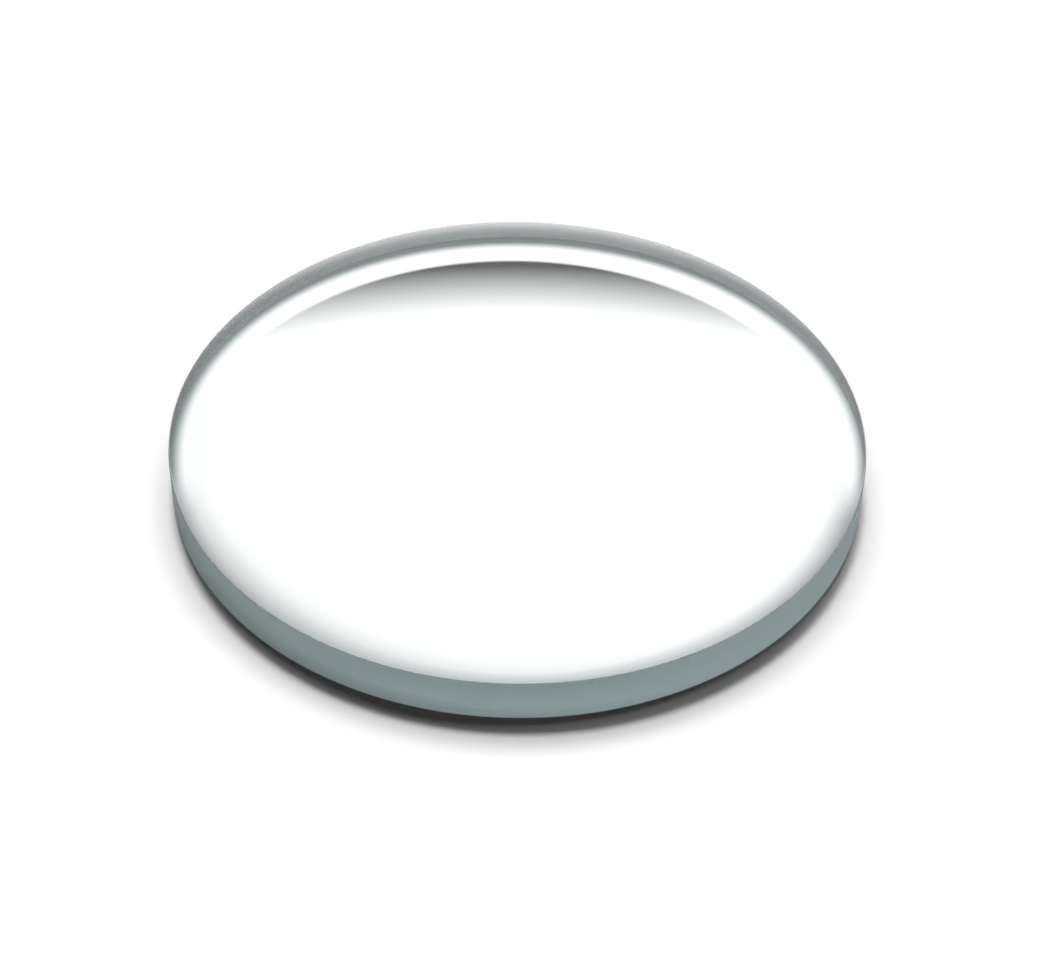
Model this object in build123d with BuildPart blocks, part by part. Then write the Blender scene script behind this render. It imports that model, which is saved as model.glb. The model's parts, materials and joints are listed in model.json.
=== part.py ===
import os

from build123d import *

# A flat round watch crystal: one disc of clear mineral glass, bevelled round both faces.
# Sizes are in millimetres. +Z is up, from the inner face, which the crystal lies on, towards the
# outer face. The origin is the centre of the inner face.

# Disc
crystal_diameter = 32.0
crystal_thickness = 2.5

# Bevel round the outer face, a hair-fine arris that keeps the edge from chipping
outer_bevel_width = 0.05
outer_bevel_height = 0.05

# Bevel round the inner face, wide and low, which lifts the edge clear of what the crystal lies on
inner_bevel_width = 1.8
inner_bevel_height = 0.45

# Edge outline, worked out from the sizes above
rim_radius = crystal_diameter / 2
inner_face_radius = rim_radius - inner_bevel_width
outer_face_radius = rim_radius - outer_bevel_width
wall_foot = inner_bevel_height
wall_top = crystal_thickness - outer_bevel_height

with BuildPart() as crystal_glass:
    with BuildSketch(Plane.XZ):
        with BuildLine():
            Polyline(
                (0, 0),
                (inner_face_radius, 0),
                (rim_radius, wall_foot),
                (rim_radius, wall_top),
                (outer_face_radius, crystal_thickness),
                (0, crystal_thickness),
                close=True,
            )
        make_face()
    revolve(axis=Axis.Z)

crystal_glass.part.label = "crystal_glass"

os.makedirs("parts", exist_ok=True)
export_step(crystal_glass.part, "parts/crystal_glass.step")

print("crystal", crystal_diameter, "mm across and", crystal_thickness, "mm thick")
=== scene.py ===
import json
import math

import bpy
from mathutils import Matrix, Vector

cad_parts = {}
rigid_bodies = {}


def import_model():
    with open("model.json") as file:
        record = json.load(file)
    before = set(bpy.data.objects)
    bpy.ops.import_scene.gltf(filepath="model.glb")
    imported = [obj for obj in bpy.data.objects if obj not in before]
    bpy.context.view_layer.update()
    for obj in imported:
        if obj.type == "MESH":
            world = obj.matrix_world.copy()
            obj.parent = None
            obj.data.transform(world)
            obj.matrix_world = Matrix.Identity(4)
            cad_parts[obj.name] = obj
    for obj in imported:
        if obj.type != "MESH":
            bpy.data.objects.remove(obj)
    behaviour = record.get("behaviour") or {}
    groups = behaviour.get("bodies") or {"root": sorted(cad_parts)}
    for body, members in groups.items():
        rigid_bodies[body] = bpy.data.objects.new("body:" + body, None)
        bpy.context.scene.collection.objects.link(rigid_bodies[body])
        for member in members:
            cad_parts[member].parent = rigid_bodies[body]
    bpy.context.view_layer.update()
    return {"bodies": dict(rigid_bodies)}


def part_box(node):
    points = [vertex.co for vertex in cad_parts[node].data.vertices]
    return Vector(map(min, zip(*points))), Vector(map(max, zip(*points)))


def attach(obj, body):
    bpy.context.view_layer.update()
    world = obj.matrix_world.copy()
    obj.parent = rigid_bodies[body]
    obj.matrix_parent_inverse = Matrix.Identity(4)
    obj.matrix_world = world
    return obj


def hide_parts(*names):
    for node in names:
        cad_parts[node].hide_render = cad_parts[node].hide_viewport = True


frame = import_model()
scene = bpy.context.scene
bodyName = sorted(frame["bodies"])[0]
glassLow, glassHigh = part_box("crystal_glass")
rimRadius = (glassHigh.x - glassLow.x) / 2
glassTop = glassHigh.z
print("frame loaded, the crystal is", round(rimRadius * 2000, 2), "mm across")


def newNode(tree, kind, **settings):
    node = tree.nodes.new(kind)
    for key, value in settings.items():
        setattr(node, key, value)
    return node


def feed(tree, socket, value):
    # a number is typed into the socket, anything else is wired to it
    if isinstance(value, (int, float)):
        socket.default_value = value
    else:
        tree.links.new(value, socket)


def calc(tree, operation, first, second=None, third=None):
    node = newNode(tree, "ShaderNodeMath", operation=operation)
    for socket, value in zip(node.inputs, (first, second, third)):
        if value is not None:
            feed(tree, socket, value)
    return node.outputs[0]


def ramp(tree, value, start, end, low=0.0, high=1.0, style="SMOOTHSTEP"):
    node = newNode(tree, "ShaderNodeMapRange", interpolation_type=style)
    feed(tree, node.inputs["Value"], value)
    node.inputs["From Min"].default_value = start
    node.inputs["From Max"].default_value = end
    node.inputs["To Min"].default_value = low
    node.inputs["To Max"].default_value = high
    return node.outputs["Result"]


def dim(tree, light, darker):
    # takes a share of the light away
    return calc(tree, "MULTIPLY", light, calc(tree, "SUBTRACT", 1, darker))


def splitAxes(tree, vector):
    node = newNode(tree, "ShaderNodeSeparateXYZ")
    tree.links.new(vector, node.inputs[0])
    return node.outputs["X"], node.outputs["Y"], node.outputs["Z"]


crystal = {
    "segments": 384,            # facets round the rim
    "topBevelWidth": 0.00005,   # hair-fine arris round the outer face
    "topBevelHeight": 0.00005,
    "underBevelWidth": 0.0018,  # wide low bevel round the inner face
    "underBevelHeight": 0.00045,
    "softEdge": 0.0006,         # how far each way the inner edge of that bevel is left round
    "softSteps": 8,
    "arris": 0.00001,           # how far the ground edges are broken
    "arrisSteps": 2,
    "arrisLimit": 30,           # degrees: softer corners than this stay as they are
    "supportGap": 0.0006,       # flat ring beside each bevel that keeps the faces flat
}


def growRing(lift, fromRadius, toRadius):
    # pulls the selected cap up and brings it to its new radius
    bpy.ops.mesh.extrude_region_move(TRANSFORM_OT_translate={"value": (0, 0, lift)})
    share = toRadius / fromRadius
    if share != 1:
        bpy.ops.transform.resize(value=(share, share, 1))


def grindCrystal():
    wallFoot = crystal["underBevelHeight"]
    wallTop = glassTop - crystal["topBevelHeight"]
    soft = crystal["softEdge"]
    slope = wallFoot / crystal["underBevelWidth"]
    flatRadius = rimRadius - crystal["underBevelWidth"] - soft
    topRadius = rimRadius - crystal["topBevelWidth"]
    bpy.ops.object.select_all(action="DESELECT")
    bpy.ops.mesh.primitive_circle_add(
        vertices=crystal["segments"], radius=flatRadius, fill_type="NGON", location=(0, 0, 0))
    glass = bpy.context.object
    glass.name = "crystalGround"
    bpy.ops.object.mode_set(mode="EDIT")
    bpy.ops.mesh.select_mode(type="FACE")
    bpy.ops.mesh.select_all(action="SELECT")
    # the rounded inner edge of the under bevel is a parabola from flat to the bevel's slope
    ringRadius, ringHeight = flatRadius, 0
    for step in range(1, crystal["softSteps"] + 1):
        along = 2 * soft * step / crystal["softSteps"]
        height = slope * along ** 2 / (4 * soft)
        growRing(height - ringHeight, ringRadius, flatRadius + along)
        ringRadius, ringHeight = flatRadius + along, height
    growRing(wallFoot - ringHeight, ringRadius, rimRadius)
    growRing(wallTop - wallFoot, rimRadius, rimRadius)
    growRing(crystal["topBevelHeight"], rimRadius, topRadius)
    bpy.ops.mesh.inset(thickness=crystal["supportGap"])
    bpy.ops.mesh.select_all(action="SELECT")
    bpy.ops.mesh.normals_make_consistent(inside=False)
    # the same flat ring on the inner face
    bpy.ops.mesh.select_all(action="DESELECT")
    bpy.ops.object.mode_set(mode="OBJECT")
    for face in glass.data.polygons:
        face.select = len(face.vertices) == crystal["segments"] and face.normal.z < 0
    bpy.ops.object.mode_set(mode="EDIT")
    bpy.ops.mesh.inset(thickness=crystal["supportGap"])
    bpy.ops.object.mode_set(mode="OBJECT")
    bpy.ops.object.shade_smooth()
    breakEdges = glass.modifiers.new("breakEdges", "BEVEL")
    breakEdges.limit_method = "ANGLE"
    breakEdges.angle_limit = math.radians(crystal["arrisLimit"])
    breakEdges.width = crystal["arris"]
    breakEdges.segments = crystal["arrisSteps"]
    breakEdges.use_clamp_overlap = False
    breakEdges.harden_normals = True
    bpy.ops.object.modifier_apply(modifier=breakEdges.name)
    return glass


crystalGround = grindCrystal()
print("crystal ground,", len(crystalGround.data.polygons), "faces")


glassLook = {
    "ior": 1.5,
    "tint": (0.47, 0.61, 0.612, 1),   # what is left of white through the edge, grey-green
    "tintDensity": 61,
    "footGrain": 0.45,     # fine-ground wall, coarser towards its top
    "topGrain": 0.95,
    "arrisGrain": 0.9,     # arris above it, frosted
    "grainSpread": 0.04,   # how much the grinding varies along the wall
    "grindScale": (60, 60, 9000),   # grinding runs round the rim: fine in height, long round the wall
    "grindDetail": 3.0,
    "wallFrom": 0.00002, "wallFull": 0.000005,   # the wall's grain fades in this far inside the rim
    "arrisFade": 0.00001,                        # and the arris's over this on each side of its edge
    "arrisLow": 0.6, "arrisHigh": 0.7,           # in thicknesses: the inner face has no such grain
}


def mixGlass():
    glass = bpy.data.materials.new("mineralGlass")
    glass.use_nodes = True
    tree = glass.node_tree
    shader = tree.nodes["Principled BSDF"]
    shader.inputs["Base Color"].default_value = (1, 1, 1, 1)
    shader.inputs["IOR"].default_value = glassLook["ior"]
    shader.inputs["Transmission Weight"].default_value = 1.0

    place = newNode(tree, "ShaderNodeTexCoord")
    across, deep, height = splitAxes(tree, place.outputs["Object"])
    flat = newNode(tree, "ShaderNodeCombineXYZ")
    tree.links.new(across, flat.inputs["X"])
    tree.links.new(deep, flat.inputs["Y"])
    reach = newNode(tree, "ShaderNodeVectorMath", operation="LENGTH")
    tree.links.new(flat.outputs[0], reach.inputs[0])
    radius = reach.outputs["Value"]

    # where the wheel has left its grain: the wall and the arris above it
    onWall = ramp(tree, radius, rimRadius - glassLook["wallFrom"], rimRadius - glassLook["wallFull"])
    topRadius = rimRadius - crystal["topBevelWidth"]
    fade = glassLook["arrisFade"]
    nearTop = ramp(tree, height, glassTop * glassLook["arrisLow"], glassTop * glassLook["arrisHigh"])
    onArris = calc(tree, "MULTIPLY", ramp(tree, radius, topRadius - fade, topRadius + fade), nearTop)

    lay = newNode(tree, "ShaderNodeMapping")
    tree.links.new(place.outputs["Object"], lay.inputs["Vector"])
    lay.inputs["Scale"].default_value = glassLook["grindScale"]
    grind = newNode(tree, "ShaderNodeTexNoise")
    grind.inputs["Scale"].default_value = 1.0
    grind.inputs["Detail"].default_value = glassLook["grindDetail"]
    tree.links.new(lay.outputs[0], grind.inputs["Vector"])
    climb = ramp(tree, height, crystal["underBevelHeight"], glassTop - crystal["topBevelHeight"],
                 glassLook["footGrain"] - glassLook["grainSpread"],
                 glassLook["topGrain"] - glassLook["grainSpread"], style="LINEAR")
    spread = calc(tree, "MULTIPLY_ADD", grind.outputs["Fac"], glassLook["grainSpread"] * 2, climb)

    frosted = calc(tree, "MULTIPLY", onArris, glassLook["arrisGrain"])
    ground = calc(tree, "MULTIPLY", onWall, calc(tree, "SUBTRACT", spread, frosted))
    tree.links.new(calc(tree, "ADD", frosted, ground), shader.inputs["Roughness"])

    depth = newNode(tree, "ShaderNodeVolumeAbsorption")
    depth.inputs["Color"].default_value = glassLook["tint"]
    depth.inputs["Density"].default_value = glassLook["tintDensity"]
    tree.links.new(depth.outputs[0], tree.nodes["Material Output"].inputs["Volume"])
    return glass


crystalGround.data.materials.append(mixGlass())
bpy.ops.object.select_all(action="DESELECT")
crystalGround.select_set(True)
bpy.context.view_layer.objects.active = crystalGround
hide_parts("crystal_glass")
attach(crystalGround, bodyName)
print("glass mixed")


# how far light is followed, and how its bounces are told apart
rays = {
    "bounces": 20,
    "straight": 0.5,   # fewer diffuse bounces than this: what the eye sees
    "turned": 2.5,     # more bounces than this under the glass: turned back by the wall
}

table = {
    "radius": 6.0,
    "segments": 96,
    "gap": 0.00003,        # the air under the crystal
    "plainFrom": 2.6,      # in rim radii: past this the table is plain white
    "plainUpTo": 4.0,
    "lift": 0.005,         # keeps the deepest shadow off full black
    "throughGlass": 1.12,  # how white the table is under the glass
}

# painted shades on the table under the crystal, standing in for its shadow, seen only through or in
# the glass, in rim radii
shade = {
    # painted shadow crescent at the back: inside one circle, and outside another with its centre in
    # front
    "crescentEdge": 0.958, "crescentAt": (-0.007, -0.064), "crescentSoft": 0.008,
    "fadeAt": (0.019, -1.345), "fadeFrom": 1.999, "fadeTo": 2.213, "crescentDepth": 0.96,
    # painted dark shade ring under the back half of the rim
    "ringAt": (0.003, 0.047), "ringSize": (0.996, 0.944), "ringFrom": 0.967, "ringTo": 1.012,
    "ringDepth": 0.83, "ringEnd": 1.04, "ringGone": 1.07,
    # narrow painted shade beside the front half of the rim
    "rimAt": (-0.013, 0.056), "rimFrom": 0.929, "rimTo": 1.023, "rimDepth": 0.746,
    # wide soft painted shade along the front
    "frontAt": (0.043, 0.501), "frontSize": (1.032, 1.264), "frontFrom": 1.04, "frontTo": 1.218,
    "frontDepth": 0.743,
    "halvesMeet": (-0.277, -0.069),   # the back shade hands over to the front ones between these
    "edgeTeal": 0.13,   # how much red the painted ring and rim shades lose
    # painted shade: what comes back from the wall sees the table darker, and darker still at the sides
    "turnedFrom": 0.25, "turnedTo": 0.75, "turnedMiddle": 0.33, "turnedSide": 0.65,
}

# the room as the glass shows it: a darker corner behind on the right, and a darker horizon behind
room = {
    "fill": 0.02, "seen": 1.0,
    "corner": (0.766, 0.643, 0), "cornerFrom": 0.55, "cornerTo": 0.93, "cornerDepth": 1.0,
    "tableFrom": 1.05, "tableTo": 2.0,   # the same corner painted as shade on the table, in rim radii
    "horizonDepth": 0.5, "horizonHigh": 0.35, "horizonBehind": 0.3,
    # the same horizon painted as shade on the table, in rim radii
    "horizonNear": 1.15, "horizonFar": 1.8, "horizonBack": 0.6,
}

# lamps stand behind the crystal: turn and height in degrees, spread is how wide and high they look
lamps = {
    "backLamp": {"turn": 188, "height": 78.1, "distance": 1.2, "spread": (9.8, 7.7), "level": 60},
    "lowLamp": {"turn": 180.8, "height": 62, "distance": 1.2, "spread": (40, 17.5), "level": 6.9},
    "softLamp": {"turn": 165, "height": 80, "distance": 1.2, "spread": (96, 17.6), "level": 1.42},
}


def sightGate(tree, light):
    # 1 for what the eye sees through or in the glass, 0 for light on its way to the table
    straight = calc(tree, "LESS_THAN", light.outputs["Diffuse Depth"], rays["straight"])
    through = calc(tree, "MAXIMUM", light.outputs["Is Transmission Ray"],
                   light.outputs["Is Glossy Ray"])
    return calc(tree, "MULTIPLY", through, straight)


def towardsCorner(tree, direction):
    node = newNode(tree, "ShaderNodeVectorMath", operation="DOT_PRODUCT")
    tree.links.new(direction, node.inputs[0])
    node.inputs[1].default_value = room["corner"]
    return node.outputs["Value"]


def shadeUnderGlass(tree, light, place):
    # the white table under the crystal with its painted soft shades, as the glass shows it
    r = rimRadius

    def distanceFrom(centre=(0, 0), size=(1, 1)):
        # distance from a centre on the table, in rim radii, with an oval measured by its half sizes
        plan = newNode(tree, "ShaderNodeMapping", vector_type="TEXTURE")
        tree.links.new(place, plan.inputs["Vector"])
        plan.inputs["Location"].default_value = (centre[0] * r, centre[1] * r, 0)
        plan.inputs["Scale"].default_value = (size[0] * r, size[1] * r, 1)
        length = newNode(tree, "ShaderNodeVectorMath", operation="LENGTH")
        tree.links.new(plan.outputs[0], length.inputs[0])
        return length.outputs["Value"]

    radius = distanceFrom()
    across, deep, _ = splitAxes(tree, place)
    backHalf = ramp(tree, deep, *[share * r for share in shade["halvesMeet"]])
    frontHalf = calc(tree, "SUBTRACT", 1, backHalf)

    # painted shadow of the back rim, a crescent on the table
    inside = ramp(tree, distanceFrom(shade["crescentAt"]),
                  shade["crescentEdge"] + shade["crescentSoft"],
                  shade["crescentEdge"] - shade["crescentSoft"])
    fade = ramp(tree, distanceFrom(shade["fadeAt"]), shade["fadeFrom"], shade["fadeTo"],
                0, shade["crescentDepth"], style="LINEAR")
    crescent = calc(tree, "MULTIPLY", inside, fade)

    # painted shade ring under the back half of the rim
    ring = calc(tree, "MULTIPLY",
                ramp(tree, distanceFrom(shade["ringAt"], shade["ringSize"]),
                     shade["ringFrom"], shade["ringTo"], 0, shade["ringDepth"]),
                ramp(tree, radius, shade["ringGone"], shade["ringEnd"]))
    ring = calc(tree, "MULTIPLY", ring, backHalf)
    # narrow painted shade beside the front half of the rim
    rim = calc(tree, "MULTIPLY", frontHalf,
               ramp(tree, distanceFrom(shade["rimAt"]), shade["rimFrom"], shade["rimTo"],
                    0, shade["rimDepth"]))
    # wide soft painted shade along the front
    front = calc(tree, "MULTIPLY", frontHalf,
                 ramp(tree, distanceFrom(shade["frontAt"], shade["frontSize"]),
                      shade["frontFrom"], shade["frontTo"], 0, shade["frontDepth"]))

    # painted shade on the table for rays turned back by the wall, deeper at the sides
    sideways = ramp(tree, calc(tree, "ABSOLUTE", across), shade["turnedFrom"] * r,
                    shade["turnedTo"] * r, shade["turnedMiddle"], shade["turnedSide"])
    turned = calc(tree, "MULTIPLY",
                  calc(tree, "GREATER_THAN", light.outputs["Ray Depth"], rays["turned"]),
                  calc(tree, "MULTIPLY", calc(tree, "LESS_THAN", radius, 1), sideways))

    # painted shade on the table towards the room's darker corner
    corner = ramp(tree, towardsCorner(tree, place), room["tableFrom"] * r, room["tableTo"] * r,
                  0, room["cornerDepth"])
    # painted shade on the table far behind, where the room's horizon is darker
    horizon = calc(tree, "MULTIPLY", ramp(tree, deep, 0, room["horizonBack"] * r),
                   ramp(tree, radius, room["horizonNear"], room["horizonFar"],
                        0, room["horizonDepth"]))

    left = calc(tree, "SUBTRACT", 1, crescent)
    for darker in (ring, rim, front, turned, corner, horizon):
        left = dim(tree, left, darker)
    underGlass = newNode(tree, "ShaderNodeEmission")
    tree.links.new(calc(tree, "MULTIPLY", left, table["throughGlass"]), underGlass.inputs["Strength"])
    # the painted ring and rim shades are tinted teal by taking red out
    teal = newNode(tree, "ShaderNodeCombineColor")
    teal.inputs["Green"].default_value = 1
    teal.inputs["Blue"].default_value = 1
    tree.links.new(calc(tree, "MULTIPLY_ADD", calc(tree, "MAXIMUM", ring, rim), -shade["edgeTeal"], 1),
                   teal.inputs["Red"])
    tree.links.new(teal.outputs[0], underGlass.inputs["Color"])
    return underGlass, radius


def layTable():
    bpy.ops.object.select_all(action="DESELECT")
    bpy.ops.mesh.primitive_circle_add(
        vertices=table["segments"], radius=table["radius"], fill_type="NGON",
        location=(0, 0, -table["gap"]))
    top = bpy.context.object
    top.name = "tableTop"
    paint = bpy.data.materials.new("paleTable")
    paint.use_nodes = True
    tree = paint.node_tree
    tree.nodes.remove(tree.nodes["Principled BSDF"])
    light = newNode(tree, "ShaderNodeLightPath")
    place = newNode(tree, "ShaderNodeTexCoord")
    underGlass, radius = shadeUnderGlass(tree, light, place.outputs["Object"])

    # in the open the table is white and takes the crystal's shadow, and far off it is plain white
    inOpen = newNode(tree, "ShaderNodeBsdfDiffuse")
    inOpen.inputs["Color"].default_value = (1, 1, 1, 1)
    lift = newNode(tree, "ShaderNodeEmission")
    tree.links.new(calc(tree, "MULTIPLY", light.outputs["Is Camera Ray"], table["lift"]),
                   lift.inputs["Strength"])
    both = newNode(tree, "ShaderNodeAddShader")
    tree.links.new(inOpen.outputs[0], both.inputs[0])
    tree.links.new(lift.outputs[0], both.inputs[1])
    plain = newNode(tree, "ShaderNodeEmission")
    plain.inputs["Strength"].default_value = 1.0
    far = newNode(tree, "ShaderNodeMixShader")
    tree.links.new(calc(tree, "MULTIPLY", light.outputs["Is Camera Ray"],
                        ramp(tree, radius, table["plainFrom"], table["plainUpTo"])), far.inputs[0])
    tree.links.new(both.outputs[0], far.inputs[1])
    tree.links.new(plain.outputs[0], far.inputs[2])
    mix = newNode(tree, "ShaderNodeMixShader")
    tree.links.new(sightGate(tree, light), mix.inputs[0])
    tree.links.new(far.outputs[0], mix.inputs[1])
    tree.links.new(underGlass.outputs[0], mix.inputs[2])
    tree.links.new(mix.outputs[0], tree.nodes["Material Output"].inputs["Surface"])
    paint.cycles.emission_sampling = "NONE"
    top.data.materials.append(paint)
    return top


def paintRoom():
    # a weak fill for the table, and a white room for the eye and for what the glass shows
    studio = bpy.data.worlds.new("studio")
    scene.world = studio
    studio.use_nodes = True
    tree = studio.node_tree
    light = newNode(tree, "ShaderNodeLightPath")
    place = newNode(tree, "ShaderNodeTexCoord")
    direction = place.outputs["Generated"]
    _, deep, height = splitAxes(tree, direction)
    corner = ramp(tree, towardsCorner(tree, direction), room["cornerFrom"], room["cornerTo"],
                  0, room["cornerDepth"])
    horizon = calc(tree, "MULTIPLY", ramp(tree, deep, 0, room["horizonBehind"]),
                   ramp(tree, calc(tree, "ABSOLUTE", height), 0, room["horizonHigh"],
                        room["horizonDepth"], 0))
    seenRoom = dim(tree, dim(tree, sightGate(tree, light), corner), horizon)
    looked = calc(tree, "MAXIMUM", seenRoom, light.outputs["Is Camera Ray"])
    backdrop = tree.nodes["Background"]
    backdrop.inputs["Color"].default_value = (1, 1, 1, 1)
    tree.links.new(calc(tree, "MULTIPLY_ADD", looked, room["seen"] - room["fill"], room["fill"]),
                   backdrop.inputs["Strength"])


def hangLamp(name, lamp):
    turn = math.radians(lamp["turn"])
    height = math.radians(lamp["height"])
    spot = Vector((math.sin(turn) * math.cos(height), -math.cos(turn) * math.cos(height),
                   math.sin(height)))
    bpy.ops.object.light_add(type="AREA", location=spot * lamp["distance"])
    light = bpy.context.object
    light.name = name
    light.rotation_euler = (-spot).to_track_quat("-Z", "Y").to_euler()
    light.data.shape = "RECTANGLE"
    wide, high = [2 * lamp["distance"] * math.tan(math.radians(part / 2)) for part in lamp["spread"]]
    light.data.size = wide
    light.data.size_y = high
    light.data.energy = lamp["level"] * math.pi * wide * high
    light.visible_camera = False
    light.visible_glossy = False
    light.visible_transmission = False


layTable()
paintRoom()
for name, lamp in lamps.items():
    hangLamp(name, lamp)
print("table laid and lamps hung")


camera = {
    "distance": 7.0, "height": 41.27, "roll": 0.75,   # in rim radii and degrees
    "slideX": -10.89, "slideY": -59.2, "scale": 347.0,   # pixels, and pixels for one rim radius
    "imageWidth": 1056,
    "sensorWidth": 36, "clipStart": 0.001,
}


def setCamera():
    height, roll = math.radians(camera["height"]), math.radians(camera["roll"])
    focal = camera["scale"] * camera["distance"]
    away = Vector((0, -math.cos(height), math.sin(height)))
    side = Vector((1, 0, 0))
    ahead = -away
    up = side.cross(ahead)
    # the eye turns off the crystal's centre until the crystal lies where it does in the picture
    dx, dy = camera["slideX"] / focal, -camera["slideY"] / focal
    yaw, pitch = math.atan2(dx, 1), math.atan2(dy, math.hypot(dx, 1))
    turn = Matrix.Rotation(yaw, 3, up)
    ahead, side = turn @ ahead, turn @ side
    tilt = Matrix.Rotation(-pitch, 3, side)
    ahead, up = tilt @ ahead, tilt @ up
    right = side * math.cos(roll) + up * math.sin(roll)
    upright = up * math.cos(roll) - side * math.sin(roll)
    bpy.ops.object.camera_add()
    eye = bpy.context.object
    spot = away * camera["distance"] * rimRadius + Vector((0, 0, glassTop))
    eye.matrix_world = Matrix((
        (right.x, upright.x, -ahead.x, spot.x),
        (right.y, upright.y, -ahead.y, spot.y),
        (right.z, upright.z, -ahead.z, spot.z),
        (0, 0, 0, 1)))
    eye.data.sensor_fit = "HORIZONTAL"
    eye.data.sensor_width = camera["sensorWidth"]
    eye.data.lens = camera["sensorWidth"] * focal / camera["imageWidth"]
    eye.data.clip_start = camera["clipStart"]
    scene.camera = eye


setCamera()
scene.cycles.max_bounces = rays["bounces"]
scene.cycles.glossy_bounces = rays["bounces"]
scene.cycles.transmission_bounces = rays["bounces"]
scene.view_settings.view_transform = "Standard"
